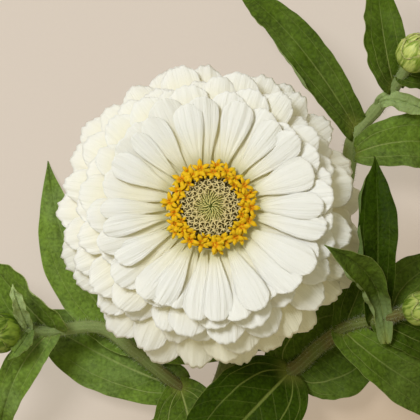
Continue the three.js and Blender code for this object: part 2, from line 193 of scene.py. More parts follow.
class Shape:
    """A mesh in the making, with a UV map and three painted values per point.

    upper is 1 on the upper face, tone differs from piece to piece, and tip rises from 0 at the
    root to 1 at the tip. A part may paint them otherwise, for its own finish to read."""

    def __init__(self):
        self.bm = bmesh.new()
        self.bm.loops.layers.uv.new("UVMap")
        self.upper = self.bm.verts.layers.float.new("upper")
        self.tone = self.bm.verts.layers.float.new("tone")
        self.tip = self.bm.verts.layers.float.new("tip")

    def grid(self, cells):
        """A flat grid, x from 0 to 1 and y from -1 to 1; gives its points and faces."""
        verts = bmesh.ops.create_grid(
            self.bm, x_segments=cells[0], y_segments=cells[1], size=0.5, calc_uvs=True
        )["verts"]
        for v in verts:
            v.co = (min(max(v.co.x + 0.5, 0), 1), min(max(2 * v.co.y, -1), 1), 0)
        return verts, list(dict.fromkeys(face for v in verts for face in v.link_faces))

    def sheet(self, cells, form, tone, tip=None, paint=None):
        """A closed thin sheet: a grid and its raised copy, bent by form(place, side, upper).

        tip(place) paints the tip otherwise, and paint(place) the upper value of the raised face."""
        verts, faces = self.grid(cells)
        copy = bmesh.ops.extrude_face_region(self.bm, geom=faces, use_keep_orig=True)["geom"]
        raised = [part for part in copy if isinstance(part, bmesh.types.BMVert)]
        for group, upper in ((verts, 0.0), (raised, 1.0)):
            for v in group:
                place, side = v.co.x, v.co.y
                v[self.upper] = paint(place) if paint and upper else upper
                v[self.tone], v[self.tip] = tone, tip(place) if tip else place
                v.co = form(place, side, upper)

    def tube(self, cells, form, shade):
        """A closed tube: a grid wrapped by form(place, turn), its seam merged and its ends filled.

        shade(place) gives its tone and its tip."""
        verts, faces = self.grid(cells)
        for v in verts:
            place, turn = v.co.x, math.pi * v.co.y
            v[self.upper] = 1.0
            v[self.tone], v[self.tip] = shade(place)
            v.co = form(place, turn)
        bmesh.ops.remove_doubles(self.bm, verts=verts, dist=1e-4)
        rims = [e for f in faces if f.is_valid for e in f.edges if e.is_boundary]
        ends = bmesh.ops.holes_fill(self.bm, edges=list(dict.fromkeys(rims)), sides=cells[1])["faces"]
        bmesh.ops.recalc_face_normals(self.bm, faces=[f for f in faces if f.is_valid] + ends)

    def ring(self, cells, form):
        """A closed ring: a grid wrapped by form(place, turn) both ways round, painted 0 all over."""
        verts, faces = self.grid(cells)
        for v in verts:
            place, turn = v.co.x, math.pi * v.co.y
            v[self.upper] = v[self.tone] = v[self.tip] = 0.0
            v.co = form(place, turn)
        bmesh.ops.remove_doubles(self.bm, verts=verts, dist=1e-4)
        bmesh.ops.recalc_face_normals(self.bm, faces=[f for f in faces if f.is_valid])

    def spike(self, base, tip, radius, sides=3, tone=0.0, blunt=0.0, paint=(0.0, 1.0)):
        """A cone from base to tip, its tip value painted from the first number to the second."""
        line = tip - base
        place = Matrix.Translation((base + tip) / 2) @ line.to_track_quat("Z", "Y").to_matrix().to_4x4()
        verts = bmesh.ops.create_cone(
            self.bm, cap_ends=True, segments=sides, radius1=radius, radius2=blunt,
            depth=line.length, matrix=place, calc_uvs=True,
        )["verts"]
        for v in verts:
            v[self.upper], v[self.tone] = 1.0, tone
            v[self.tip] = paint[(v.co - tip).length < (v.co - base).length]

    def piece(self, name, finish, slot, *nodes):
        """Makes the finished object, which rides on the flower and stands for its CAD nodes."""
        for face in self.bm.faces:
            face.smooth = True
        bmesh.ops.scale(self.bm, vec=(MM, MM, MM), verts=self.bm.verts)
        mesh = bpy.data.meshes.new(name)
        self.bm.to_mesh(mesh)
        self.bm.free()
        mesh.materials.append(finish.material)
        made = placed(name, mesh)
        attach(made, "root")
        if nodes:
            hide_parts(*nodes)


# Materials

class Wire:
    """A shader socket that can be reckoned with like a number."""

    def __init__(self, finish, socket):
        self.finish, self.socket = finish, socket

    def __add__(self, other):
        return self.finish.math("ADD", self, other)

    def __sub__(self, other):
        return self.finish.math("SUBTRACT", self, other)

    def __rsub__(self, other):
        return self.finish.math("SUBTRACT", other, self)

    def __mul__(self, other):
        return self.finish.math("MULTIPLY", self, other)

    def __mod__(self, other):
        return self.finish.math("FLOORED_MODULO", self, other)

    def __abs__(self):
        return self.finish.math("ABSOLUTE", self)

    __radd__, __rmul__ = __add__, __mul__

    def step(self, start, end):
        """0 before start, 1 after end; start may be the higher one, for a fall."""
        return self.finish.node(
            "ShaderNodeMapRange", {"interpolation_type": "SMOOTHSTEP"},
            {0: self, 1: start, 2: end},
        )


class Finish:
    """One material: a principled shader with its constants, and nodes added one by one."""

    def __init__(self, name, **constants):
        self.material = bpy.data.materials.new(name)
        self.material.use_nodes = True
        self.tree = self.material.node_tree
        self.shader = self.tree.nodes["Principled BSDF"]
        for key, value in constants.items():
            self.shader.inputs[key.replace("_", " ")].default_value = value

    def node(self, kind, settings=None, inputs=None, output=0):
        """Adds a node. An input that is a wire is joined to it, and any other is set."""
        made = self.tree.nodes.new(kind)
        for key, value in (settings or {}).items():
            setattr(made, key, value)
        for key, value in (inputs or {}).items():
            if isinstance(value, Wire):
                self.tree.links.new(value.socket, made.inputs[key])
            else:
                made.inputs[key].default_value = value
        return Wire(self, made.outputs[output])

    def set(self, **wires):
        """Joins wires to the principled shader."""
        for key, wire in wires.items():
            self.tree.links.new(wire.socket, self.shader.inputs[key.replace("_", " ")])

    def math(self, operation, *terms):
        return self.node("ShaderNodeMath", {"operation": operation}, dict(enumerate(terms)))

    def highest(self, *wires):
        top = wires[0]
        for wire in wires[1:]:
            top = self.math("MAXIMUM", top, wire)
        return top

    def blend(self, mask, low, high, how="MIX"):
        """The colour low where mask is 0 and high where it is 1."""
        return self.node("ShaderNodeMix", {"data_type": "RGBA", "blend_type": how},
                         {0: mask, 6: low, 7: high}, 2)

    def painted(self, name):
        return self.node("ShaderNodeAttribute", {"attribute_name": name}, output="Fac")

    def here(self):
        return self.node("ShaderNodeTexCoord", output="Object")

    def split(self, vector):
        """The first two components of a vector."""
        first = self.node("ShaderNodeSeparateXYZ", None, {0: vector})
        return first, Wire(self, first.socket.node.outputs[1])

    def uv(self):
        """The piece's own map: the place along it, and the side from -1 to 1."""
        place, side = self.split(self.node("ShaderNodeUVMap"))
        return place, side * 2.0 - 1.0

    def noise(self, where, scale, detail=3.0):
        return self.node("ShaderNodeTexNoise", None, {"Vector": where, "Scale": scale, "Detail": detail})

    def streaks(self, place, side, tone, along, across):
        """Noise drawn out lengthwise, different on each piece with another tone."""
        where = self.node("ShaderNodeCombineXYZ", None, {0: place * along, 1: side * across, 2: tone * 31.0})
        return self.noise(where, 1.6, 2.0)

    def relief(self, height, depth, strength):
        """Fine relief of the given depth in metres."""
        normal = self.node(
            "ShaderNodeBump", None, {"Height": height, "Distance": depth, "Strength": strength}
        )
        self.set(Normal=normal)


def rgb(red, green, blue):
    return (red, green, blue, 1.0)


def petal_finish():
    """White at the tip and cream at the claw and below, partly its own colour and partly painted shade;
    a painted glow where light comes through; fine nerves.
    """
    finish = Finish("petal_white", Roughness=0.7, Specular_IOR_Level=0.12, Subsurface_Weight=0.15,
                    Subsurface_Radius=(1.0, 0.97, 0.88), Subsurface_Scale=0.0008, Emission_Strength=1.0)
    place, side = finish.uv()
    tone, upper, white = finish.painted("tone"), finish.painted("upper"), finish.painted("tip")
    # painted shade: the olive cream at the claw is partly the petal's own colour and partly the shade
    # between the petals
    claw = finish.blend(place.step(0.12, 0.30), rgb(0.72, 0.67, 0.38), rgb(0.90, 0.87, 0.70))
    blade = finish.blend(white, claw, rgb(0.945, 0.94, 0.89))
    tinted = finish.blend(tone * 0.20, blade, rgb(0.90, 0.88, 0.76))
    # the cream underside is partly its own colour and partly painted shade in the gaps; low rim petals on
    # the shaded side take it on their upper face too, as painted shade
    cream = finish.blend((1.0 - upper) * 0.6, tinted, rgb(0.88, 0.82, 0.54))
    nerves = finish.streaks(place, side, tone, 1.2, 7.0)
    lined = finish.blend(nerves.step(0.52, 0.80) * 0.11, cream, rgb(0.72, 0.70, 0.52))
    # painted light: the cream parts glow a little, standing in for light that comes through the petals into
    # their shade
    glow = finish.blend(white, rgb(0.050, 0.042, 0.014), rgb(0, 0, 0))
    finish.set(Base_Color=lined, Emission_Color=glow)
    finish.relief(nerves, 0.00045, 0.65)
    return finish


def floret_finish():
    """Golden yellow lobes, orange at the throat, greener at some tips; dark below and on their seat as
    painted shade.
    """
    finish = Finish("floret_gold", Roughness=0.6, Specular_IOR_Level=0.15, Subsurface_Weight=0.15,
                    Subsurface_Radius=(0.9, 0.6, 0.1), Subsurface_Scale=0.0008)
    tip, tone = finish.painted("tip"), finish.painted("tone")
    throat = finish.blend(tip.step(0.0, 0.42), rgb(0.70, 0.20, 0.004), rgb(0.86, 0.52, 0.010))
    lobe = finish.blend(tip.step(0.45, 1.0) * tone.step(0.6, 1.0), throat, rgb(0.60, 0.56, 0.03))
    grain = finish.noise(finish.here(), 2600.0)
    bright = finish.blend(grain.step(0.45, 0.8) * 0.5, lobe, rgb(0.96, 0.66, 0.02))
    # painted shade: the lobes' undersides and their seat are dark, for the shade between the florets
    finish.set(Base_Color=finish.blend(finish.painted("upper"), rgb(0.13, 0.085, 0.018), bright))
    finish.relief(grain, 0.00012, 0.6)
    return finish


def scale_finish():
    """Pale dry tips on dark roots: brown outside, green at the middle."""
    finish = Finish("scale_pale", Roughness=0.65, Specular_IOR_Level=0.12)
    tip, tone = finish.painted("tip"), finish.painted("tone")
    root = finish.blend(tone.step(0.1, 0.8), rgb(0.13, 0.17, 0.02), rgb(0.15, 0.115, 0.030))
    pale = finish.blend(tone.step(0.35, 0.9), rgb(0.80, 0.72, 0.27), rgb(0.84, 0.71, 0.35))
    finish.set(Base_Color=finish.blend(tip.step(0.0, 0.5), root, pale))
    finish.relief(finish.noise(finish.here(), 3200.0), 0.00008, 0.4)
    return finish


def leaf_skin(finish, tone, shade):
    """Mottled green of the upper face with patches of painted sheen, and dark blades have less blue."""
    top = finish.blend(tone, rgb(0.018, 0.042, 0.0006), rgb(0.160, 0.254, 0.036))
    # painted sheen: pale grey-green patches stand in for the soft sheen on the leaf
    bloom = finish.blend(tone, rgb(0.030, 0.056, 0.003), rgb(0.195, 0.275, 0.095))
    sheen_patched = finish.blend(finish.noise(finish.here(), 60.0).step(0.42, 0.62) * 0.45, top, bloom)
    blue = finish.blend(tone, rgb(1.0, 1.0, 0.4), rgb(1.0, 1.0, 1.0))
    return finish.blend(1.0, finish.blend(1.0, sheen_patched, blue, "MULTIPLY"), shade, "MULTIPLY")


def leaf_nerves(finish, place, share, clear, wander):
    """Midrib, nerves on each side that leave the base with it, and weak ones that branch off."""
    opening = 1.0 - finish.math("EXPONENT", place * -VEIN_RATE)
    lateral = abs(share + wander - opening * VEIN_SHARE)
    outer = abs(share + wander - opening * OUTER_VEIN_SHARE)
    width = 0.042 - place * 0.028
    strong = (share + wander).step(width * 1.1, width * 0.3)
    medium = lateral.step(width * 0.75, width * 0.15) * place.step(0.97, 0.6)
    thin = outer.step(width * 0.6, width * 0.1) * place.step(0.7, 0.25) * clear.step(0.6, 0.9)
    rung = abs((place * 9.0 - share * 2.6 + wander * 9.0) % 1.0 - 0.5)
    weak = rung.step(0.06, 0.0) * 0.3
    return finish.highest(strong, medium * 0.8, thin * 0.6, weak) * clear


def leaf_finish():
    """Satin green blade with pale nerves, margin and heel, and a paler underside."""
    finish = Finish("leaf_green", Specular_IOR_Level=0.05, Subsurface_Weight=0.03,
                    Subsurface_Radius=(0.5, 0.8, 0.05), Subsurface_Scale=0.0006)
    place, side = finish.uv()
    tone, upper, clear = finish.painted("tone"), finish.painted("upper"), finish.painted("tip")
    where, share = finish.here(), abs(side)
    cloud, patch = finish.noise(where, 110.0), finish.noise(where, 330.0, 4.0)
    fibre = finish.noise(where, 900.0, 4.0)
    net = finish.node("ShaderNodeTexVoronoi", {"feature": "DISTANCE_TO_EDGE"},
                      {"Vector": where, "Scale": 560.0})
    cell = net.step(0.0, 0.3)
    skin = leaf_skin(finish, tone, cloud + patch * 0.5 + fibre * 1.1 + cell * 0.16 - 0.43)
    under = finish.blend(tone, rgb(0.09, 0.14, 0.035), rgb(0.42, 0.53, 0.23))
    blade = finish.blend(upper, under, skin)
    nerves = leaf_nerves(finish, place, share, clear, (fibre - 0.5) * 0.010)
    margin = share.step(0.955, 1.0) * 0.75
    pale = finish.blend(tone, rgb(0.16, 0.20, 0.035), rgb(0.40, 0.46, 0.16))
    veined = finish.blend(finish.highest(nerves, margin), blade, pale)
    heel = finish.blend((place + share * 0.10).step(0.13, 0.0) * 0.7, veined, rgb(0.27, 0.30, 0.06))
    finish.set(Base_Color=heel, Roughness=0.44 + fibre * 0.2)
    finish.relief(cell * 0.4 - nerves * 1.3 + fibre * 0.9 + patch * 1.6, 0.00030, 0.7)
    return finish


def stem_finish():
    """Grey-green with lengthwise ribs, darkened by a brown flush and by painted shade."""
    finish = Finish("stem_green", Roughness=0.66, Specular_IOR_Level=0.15)
    where, tone = finish.here(), finish.painted("tone")
    place, side = finish.uv()
    patch = finish.noise(where, 130.0)
    grain = finish.noise(where, 1400.0)
    ribs = abs((side * 5.0) % 1.0 - 0.5) * 2.0
    light = finish.blend(grain, rgb(0.19, 0.27, 0.080), rgb(0.33, 0.42, 0.165))
    dark = finish.blend(patch.step(0.38, 0.62), rgb(0.11, 0.135, 0.025), rgb(0.12, 0.09, 0.022))
    # painted shade: tone darkens the stem where it lies in shade, as well as giving its brown flush
    skin = finish.blend(tone, light, dark)
    finish.set(Base_Color=finish.blend(ribs.step(0.4, 1.0) * 0.2, skin, rgb(0.34, 0.40, 0.15)))
    finish.relief(ribs * 0.4 + grain * 0.6, 0.00020, 0.5)
    return finish


def hair_finish():
    """Short pale hairs."""
    finish = Finish("hair_pale", Roughness=0.5, Specular_IOR_Level=0.3)
    tip = finish.painted("tip")
    finish.set(Base_Color=finish.blend(tip, rgb(0.26, 0.30, 0.14), rgb(0.68, 0.70, 0.52)))
    return finish


def bud_finish():
    """Green bracts, streaked dark and pale, with a straw fringe that is brown in places."""
    finish = Finish("bract_green", Roughness=0.42, Specular_IOR_Level=0.25, Subsurface_Weight=0.08,
                    Subsurface_Radius=(0.7, 0.9, 0.1), Subsurface_Scale=0.0008)
    place, side = finish.uv()
    share, tone, light = abs(side), finish.painted("tone"), finish.painted("tip")
    streaks = finish.streaks(place, side, tone, 1.1, 2.4)
    fine = finish.streaks(place, side, tone, 2.4, 11.0)
    deep = finish.blend(light, rgb(0.030, 0.070, 0.001), rgb(0.20, 0.32, 0.015))
    pale = finish.blend(light, rgb(0.16, 0.27, 0.004), rgb(0.76, 0.82, 0.26))
    mask = streaks.step(0.40, 0.58) * 0.75 + fine.step(0.35, 0.7) * 0.25
    body = finish.blend(mask, deep, pale)
    edge = share.step(0.80, 0.98) * place.step(0.3, 0.8)
    fringe = finish.blend(fine.step(0.45, 0.6), rgb(0.72, 0.68, 0.34), rgb(0.30, 0.19, 0.06))
    rim = finish.highest(edge, place.step(0.82, 1.0))
    finish.set(Base_Color=finish.blend(rim * light * 0.7, body, fringe))
    finish.relief(streaks + fine * 0.5, 0.0005, 0.6)
    return finish


def floor_finish():
    """Warm pale paper with an even glow of its own, and painted shade that darkens it towards the near right
    corner.
    """
    finish = Finish("paper_beige", Roughness=0.95, Specular_IOR_Level=0.05, Emission_Strength=1.2)
    where = finish.here()
    right, back = finish.split(where)
    # painted shade: the light's falloff, darker towards the near right
    near = (right * 0.7 - back).step(-0.06, 0.065)
    lit = finish.blend(near, rgb(0.388, 0.338, 0.288), rgb(0.322, 0.245, 0.168))
    grain = finish.noise(where, 900.0)
    paper = finish.blend(grain * 0.08, lit, rgb(0.30, 0.255, 0.22))
    dimmed = finish.blend(0.35, paper, rgb(0, 0, 0))
    finish.set(Base_Color=dimmed, Emission_Color=paper)
    finish.relief(grain, 0.0001, 0.15)
    return finish


# Petals

# Tips, and the arch between tip and root: reach from the bloom's axis and height above the disc,
# from the top petals at 0 to the rim at 1
REACH = [(0, 32), (0.17, 34), (0.36, 38.6), (0.58, 43.2), (0.78, 46.3), (1, 48.5)]
TIP_HEIGHT = [(0, 2), (0.15, 0.4), (0.24, -2.6), (0.36, -4.6), (0.58, -11), (0.78, -18.5), (1, -27)]
ARCH_REACH = [(0, 21), (0.36, 24), (0.58, 27), (0.78, 30), (1, 34)]
ARCH_HEIGHT = [(0, 1.4), (0.12, 1), (0.2, -0.8), (0.36, -1.2), (0.58, -2.4), (0.78, -4.6), (1, -7.2)]
ROOT_HEIGHT = (-3.6, -10.6)
# Share of a petal's full breadth, from root to tip
PETAL_BREADTH = [(0, 0.16), (0.16, 0.25), (0.34, 0.47), (0.52, 0.75), (0.68, 0.94), (0.82, 1.0),
                 (0.92, 0.94), (1, 0.84)]
# Radius and height of the core, and of the florets' seat
CORE_PROFILE = [(0, -11.6), (8.6, -11.6), (12.6, -2.6), (11.5, -2.4), (0, -2.4)]
SEAT_PROFILE = [(8.7, -2.1), (12.4, -2.1), (12.4, -1.5), (8.7, -1.0), (8.7, -2.1)]


def petal_form(i):
    """The bent, grooved sheet of petal i, from the highest and shortest to the rim."""
    age = i / (PETAL_COUNT - 1)
    turn = i * GOLDEN_ANGLE + PETAL_SWAY * sway(i, 1)
    outward = level(turn)
    sideways = UP.cross(outward)
    centre = Vector((0, BLOOM_Y, DISC_HEIGHT))
    # Some middle petals are tucked in, and the top ones reach further on the long side
    tucked = TUCK * (0.22 < age < 0.8) * (chance(i, 16) > 0.62)
    longer = (0.9 + 3.1 * chance(i, 19)) * max(math.cos(turn - LONG_SIDE), 0)
    longer *= 1 - smooth(age, 0.12, 0.3)
    tip_reach = reading(age, REACH) + 1.6 * sway(i, 3) - tucked + longer
    path = [centre + outward * reach + UP * height for reach, height in (
        (mix(*CORE_RADII, age) - 1.6, mix(*ROOT_HEIGHT, age)),
        (reading(age, ARCH_REACH) - tucked / 2, reading(age, ARCH_HEIGHT) + 1.2 * sway(i, 2)),
        (tip_reach, reading(age, TIP_HEIGHT) + 1.6 * sway(i, 4)),
    )]
    plump = mix(0.96 + 0.12 * math.cos(turn - WIDE_SIDE), 1.24, smooth(age, 0.1, 0.35))
    half = mix(*PETAL_WIDTHS, age) / 2 * (plump + 0.34 * sway(i, 5))
    twist = PETAL_TWIST * sway(i, 6)
    rows = (-1.5, -0.5, 0.5, 1.5) if chance(i, 7) > 0.5 else (-1.2, 0, 1.2)
    grooves = [0.44 * row + 0.2 * sway(i, 30 + row) for row in rows]
    depth = GROOVE_DEPTH * (1.0 + 1.3 * chance(i, 9))
    blunt = 0.13 + 0.04 * sway(i, 10)
    notch = 0.005 + 0.017 * chance(i, 11) * (0.3 + 0.7 * age)
    wave, wave_start = 0.25 + 0.35 * age * chance(i, 13), 6.3 * chance(i, 14)
    bend = 1.6 * sway(i, 15)
    cup = 0.5 * chance(i, 17)
    flare = TIP_FLARE * (0.7 + 0.6 * chance(i, 18)) * smooth(age, 0.05, 0.25)

    def form(place, side, upper):
        side = crowded(side, 1.35)
        place = 1 - (1 - place) ** 1.25
        # The rim is blunt, with a small notch where each groove ends
        rim = smooth(place, 0.35, 1.0)
        cut = sum(bump(side - groove, 0.13) for groove in grooves)
        back = (blunt * abs(side) ** 3.2 + notch * cut) * rim
        share = place * (1 - back)
        point, along = bezier(path, share)
        across = sideways.copy()
        across.rotate(Quaternion(along, twist * share))
        face = along.cross(across)
        broad = reading(share, PETAL_BREADTH)
        grooved = smooth(share, 0.10, 0.45)
        # Arched across, cupped, grooved, crimped at the rim and waved at the sides
        lift = -PETAL_ARCH * broad * side * side * (1.0 + 0.8 * smooth(share, 0.7, 1.0))
        lift += cup * math.sin(math.pi * share) * side * side * (1 - 0.5 * side * side)
        lift -= depth * grooved * cut
        lift += 0.09 * rim * math.cos(15 * side + wave_start) * smooth(share, 0.6, 1)
        lift += wave * side * side * math.sin(8 * share + wave_start + side) * grooved
        skin = PETAL_THICKNESS * (0.5 - 0.22 * side * side - 0.12 * share)
        lift += skin if upper else -skin
        point = point + UP * (flare * smooth(share, 0.5, 1.15))
        return point + across * (half * broad * side + bend * share * share) + face * lift

    return form


def ray_petals():
    """All petals, the top ones first, and the hidden core that holds them.

    covered is how much further out a petal stays cream, as painted shade under the petals above it, and
    shaded how far the upper face of a low petal on the shaded side takes the cream of its underside,
    as painted shade."""
    shape = Shape()
    for i in range(PETAL_COUNT):
        age, turn = i / PETAL_COUNT, i * GOLDEN_ANGLE
        # painted shade: the cream reaches further out under the petals above, and furthest on the side where
        # the light grazes
        cream_shade_reach = 0.34 * smooth(age, 0.1, 0.4) + 0.08 * math.cos(turn - CREAM_SHADE_SIDE)
        shaded = smooth(age, 0.55, 0.75) * smooth(math.cos(turn - SHADED_SIDE), 0.2, 0.9)
        shape.sheet(PETAL_GRID, petal_form(i), chance(i, 20),
                    lambda place: smooth(place, 0.16 + cream_shade_reach, 0.60 + cream_shade_reach),
                    lambda place: 1 - shaded)

    def side_of_core(place, turn):
        radius, height = turned_profile(CORE_PROFILE, place)
        return disc_point(max(radius, 0.05), turn, height)

    shape.tube(CORE_GRID, side_of_core, lambda place: (1.0, place))
    return shape


# Disc

def disc_point(radius, turn, height):
    """A point at this radius and direction from the bloom's axis, height above the disc."""
    return Vector((radius * math.cos(turn), BLOOM_Y + radius * math.sin(turn), DISC_HEIGHT + height))


def floret(shape, i, radius, turn, size, lift):
    """A five-lobed star on a short tube, with its forked style."""
    outward = level(turn)
    lean = (UP + outward * (0.35 * chance(i, 32) + 0.12 * (radius - 10))).normalized()
    first = lean.cross(UP.cross(outward)).normalized()
    second = lean.cross(first)
    heart = disc_point(radius, turn, lift)
    spin = math.tau * chance(i, 7)
    shape.spike(heart - lean * 2.2, heart - lean * 0.1, 0.5, sides=8, tone=0.9, blunt=0.75)
    for k in range(LOBES):
        seed = LOBES * i + k
        angle = spin + math.tau * k / LOBES + 0.3 * sway(seed, 33)
        out = first * math.cos(angle) + second * math.sin(angle)
        cross = lean.cross(out)
        reach = size * (0.88 + 0.24 * chance(seed, 34))
        rise = 0.35 + 0.9 * chance(seed, 35)
        fat = size * (0.20 + 0.05 * chance(seed, 36))

        def lobe(place, side, upper):
            along = mix(0.25, reach, place * (1 - 0.10 * side * side))
            breadth = fat * (0.72 + 0.28 * math.sin(math.pi * place)) * math.sqrt(
                max(1 - (max(place - 0.7, 0) / 0.31) ** 2, 0.02))
            height = rise * math.sin(2.3 * place) - 0.28 * side * side
            height += (0.17 if upper else -0.17) * (1 - 0.5 * side * side)
            return heart + out * along + cross * (breadth * side) + lean * height

        outside = out.dot(outward) > 0.55
        shape.sheet(LOBE_GRID, lobe, 0.4 + 0.6 * chance(seed, 37) if outside else 0.55 * chance(seed, 37))
    for fork in (-1, 1):
        base = heart + first * 0.1 * fork
        end = base + lean * 0.75 + first * 0.5 * fork
        shape.spike(base - lean * 0.4, end, 0.2, sides=5, blunt=0.09)


def disc_florets():
    """The ring of open florets on its seat, late ones on its inner side and low ones at its rim."""
    shape = Shape()
    for i in range(FLORET_COUNT):
        turn = math.tau * i / FLORET_COUNT + 0.10 * sway(i, 30)
        radius = FLORET_RINGS[i % 2] + 0.5 * sway(i, 31)
        floret(shape, i, radius, turn, FLORET_RADIUS, 0.9 * chance(i, 8) - 0.1)
    for i in range(INNER_FLORETS):
        turn = math.tau * (i + 0.5 * chance(i, 38)) / INNER_FLORETS
        radius = 9.6 + 0.5 * chance(i, 39)
        floret(shape, i + FLORET_COUNT, radius, turn, 0.66 * FLORET_RADIUS, 0.2 + 0.5 * chance(i, 8))
    for i in range(OUTER_FLORETS):
        turn = math.tau * (i + 0.7 * chance(i, 28)) / OUTER_FLORETS
        floret(shape, i + OUTER_SEED, 12.7, turn, 0.8 * FLORET_RADIUS, -0.7)

    def seat(place, turn):
        radius, height = turned_profile(SEAT_PROFILE, (turn / math.pi + 1) / 2)
        return disc_point(radius, math.tau * place, height)

    shape.ring(SEAT_GRID, seat)
    return shape


def dome_height(radius):
    """The centre's low dome, with a dimple in its middle."""
    return 1.4 * math.cos(radius / 8 * 1.3) - 0.2 - 0.75 * bump(radius, 1.3)


def scale_bed(shape):
    """The solid dome that the scales stand on."""
    def dome(place, turn):
        radius = max(0.02, SCALE_DOME * math.sin(math.pi * place))
        under = place > 0.5
        height = -2.1 if under else dome_height(min(radius, 8)) - 0.9 - 0.7 * smooth(radius, 6, SCALE_DOME)
        return disc_point(radius, turn, height)

    shape.tube(BED_GRID, dome, lambda place: (smooth(math.sin(math.pi * place), 0.1, 0.65), 0.0))


def bristles(shape):
    """A spiral of fine bristles that lean inwards. Its first places stay bare."""
    for k in range(BARE_BRISTLES, BRISTLE_COUNT):
        turn = k * GOLDEN_ANGLE
        radius = BRISTLE_FIELD * math.sqrt((k + 0.8) / BRISTLE_COUNT)
        height = dome_height(radius)
        base = disc_point(radius + 0.35, turn, height - 0.9)
        tip = disc_point(max(radius - 1.0 - 0.5 * chance(k, 45), 0.45), turn + 0.10, height + 0.25)
        tip.z += 0.3 * sway(k, 40)
        shape.spike(base, tip, 0.26, sides=4, blunt=0.12, paint=(0.5, 1.0))


def starry_scales(shape):
    """A spiral of dry scales outside the bristles, each a post that forks into a star."""
    for k in range(SCALE_COUNT):
        turn = k * GOLDEN_ANGLE
        radius = SCALE_FIELD * math.sqrt((k + 0.6) / SCALE_COUNT)
        if radius < BRISTLE_FIELD - 1.3:
            continue
        height = dome_height(radius) + 0.35 * sway(k, 46)
        base = disc_point(radius, turn, height - 1.4)
        top = disc_point(radius - 0.15, turn, height + 0.35)
        shape.spike(base, top, 0.24, sides=4, tone=1.0, blunt=0.2, paint=(0.0, 0.7))
        for arm in range(SCALE_ARMS):
            seed = 9 * k + arm
            swing = math.tau * (arm + 0.35 * chance(seed, 48)) / SCALE_ARMS + turn
            direction = level(swing) - level(turn) * 0.15
            reach = 0.98 + 0.34 * chance(seed, 49)
            end = top + direction * reach + UP * (0.25 * chance(seed, 41) - 0.05)
            shape.spike(top - UP * 0.1, end, 0.25, sides=4, tone=1.0, blunt=0.1, paint=(0.6, 1.0))


def scale_fringe(shape):
    """The stubs between the scales and the florets."""
    for k in range(FRINGE_COUNT):
        turn = math.tau * (k + 0.4 * chance(k, 42)) / FRINGE_COUNT
        root = disc_point(8.8, turn, -1.0)
        tip = disc_point(9.4 + 0.7 * chance(k, 43), turn + 0.06 * sway(k, 44), 0.3)
        shape.spike(root, tip, 0.36, sides=4, tone=0.9, blunt=0.22, paint=(0.15, 0.6))


def disc_scales():
    """The centre of the disc: starry scales outside, leaning bristles inside."""
    shape = Shape()
    for part in (scale_bed, bristles, starry_scales, scale_fringe):
        part(shape)
    return shape


# Stems

def vectors(points):
    return [Vector(p) for p in points]


# The points that each stem runs through, and its radius at root and end
ROUTES = {
    "main": ([(-12, -60, 2.75), (-8.5, -40, 2.75), (-4.5, -18, 2.75), (0, 0, 2.75), (4.8, 12, 2.9),
              (7.5, 24, 4), (6.5, 35, 7.2), (3.6, 46, 13.2), (1.2, 54.6, 21), (0, 59.4, 27.5),
              (0, BLOOM_Y, 33)], (3.1, 3.1)),
    "left": ([(0.8, 2.8, 3), (-9.8, 7.8, 7.6), (-24, 19, 13.5), (-34.6, 26, 17.5), (-49, 24.8, 22),
              (-55, 24.5, 25), (-59.7, 24, 28.5)], (2.2, 1.7)),
    "right": ([(1.6, 4.4, 3), (12, 7.6, 5.6), (25.4, 12.8, 9.4), (33.8, 19.9, 14), (41.4, 25.3, 19.5),
               (47.9, 27, 24.5), (54.5, 28.3, 30.6), (60, 29.6, 36.2)], (2.6, 1.8)),
    "upper": ([(7.5, 24, 4), (14.5, 38, 6.4), (25.3, 54.4, 8.6), (41, 69, 10.6), (44.2, 78, 12),
               (45, 86, 14), (52, 94.4, 19), (56.8, 99.8, 24.4), (61, 106.2, 32.6)], (2.4, 1.8)),
}
# Places along each stem where leaves leave it, and how dark it is at root and end: a brown flush and painted
# shade
JOINTS = {
    "main": ((0.30, 0.5), (0.3, 0.6)),
    "left": ((0.167, 0.667, 0.833), (0.9, 0.1)),
    "right": ((0.286, 0.571, 0.786, 0.90), (0.8, 0.9)),
    "upper": ((0.56, 0.75, 0.875), (0.45, 0.15)),
}
# How many hairs each stem has, and the stretch that they stand on
HAIRS = {"main": (900, 0.02, 0.98), "left": (1500, 0.1, 0.99), "right": (1500, 0.2, 0.99),
         "upper": (900, 0.2, 0.99)}


def stem_section(name, share):
    """Centre, direction, two crossing directions and radius of a stem at share of its length."""
    points, (thick, thin) = ROUTES[name]
    centre, along = along_route(vectors(points), share)
    across = UP.cross(along)
    across = across.normalized() if across.length > 0.05 else Vector((0, 1, 0)).cross(along).normalized()
    above = along.cross(across)
    swell = sum(0.13 * bump(share - joint, 0.018) for joint in JOINTS[name][0])
    return centre, along, across, above, mix(thick, thin, share) * (1 + swell)


def stem(name):
    """A ribbed stem, laid from its root in sections that each turn as little as can be."""
    steps = STEM_GRID[0]
    sections = []
    for step in range(steps + 1):
        centre, along, across, above, radius = stem_section(name, step / steps)
        if sections:
            last = sections[-1][1]
            across = (last - along * last.dot(along)).normalized()
            above = along.cross(across)
        sections.append((centre, across, above, radius))

    def skin(place, turn):
        centre, across, above, radius = sections[round(place * steps)]
        ribbed = radius * (1 + 0.018 * math.cos(10 * turn))
        point = centre + across * (ribbed * math.cos(turn)) + above * (ribbed * math.sin(turn))
        point.z = max(point.z, 0.0)
        return point

    shape = Shape()
    shape.tube(STEM_GRID, skin, lambda place: (mix(*JOINTS[name][1], smooth(place, 0.15, 0.5)), place))
    return shape


